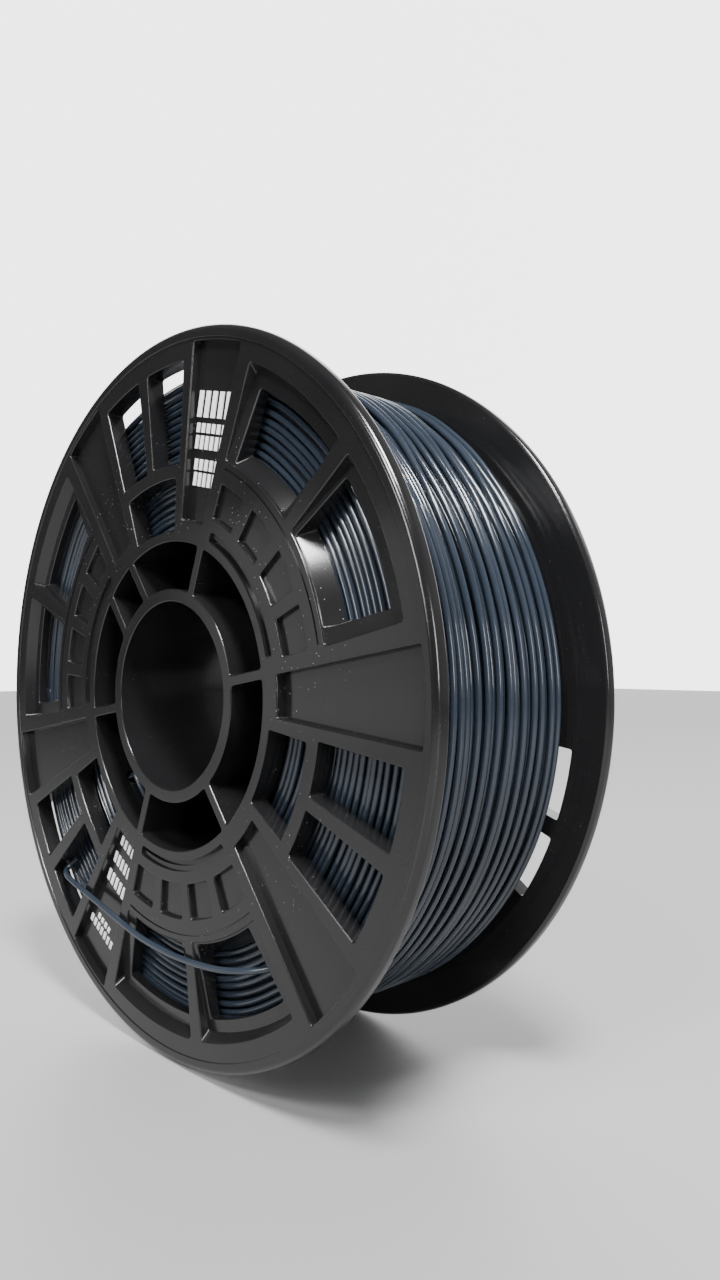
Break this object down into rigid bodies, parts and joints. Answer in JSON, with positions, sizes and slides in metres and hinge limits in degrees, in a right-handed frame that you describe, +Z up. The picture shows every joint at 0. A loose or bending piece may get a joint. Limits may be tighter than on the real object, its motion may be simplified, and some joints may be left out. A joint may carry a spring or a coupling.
{
  "type": "filament spool",
  "caption": "Wound spool of plastic filament: two windowed flanges on a ribbed hollow hub, with the strand's tail laced through one flange.",
  "frame": {"origin": "middle of the bore, halfway between the two rims", "axes": "+Y along the bore from the laced front flange to the rear flange, +Z up as the spool stands on its rims, +X to the right seen from the front"},
  "size_m": [0.2, 0.0676, 0.2],
  "materials": {
    "spool_plastic": "black injection-moulded plastic, satin with fine handling scratches",
    "filament": "slate blue-grey extruded strand, smooth with a satin shine",
    "print_ink": "flat white pad-printed ink"
  },
  "bodies": {
    "root": {"front_flange": "spool_plastic", "front_drum": "spool_plastic", "front_bore_tube": "spool_plastic", "front_hub_ribs": "spool_plastic", "rear_flange": "spool_plastic", "rear_drum": "spool_plastic", "rear_bore_tube": "spool_plastic", "rear_hub_ribs": "spool_plastic", "filament_winding": "filament", "filament_outer_layer": "filament", "filament_tail": "filament", "filament_start": "filament", "front_print_marks": "print_ink"}
  },
  "joints": []
}
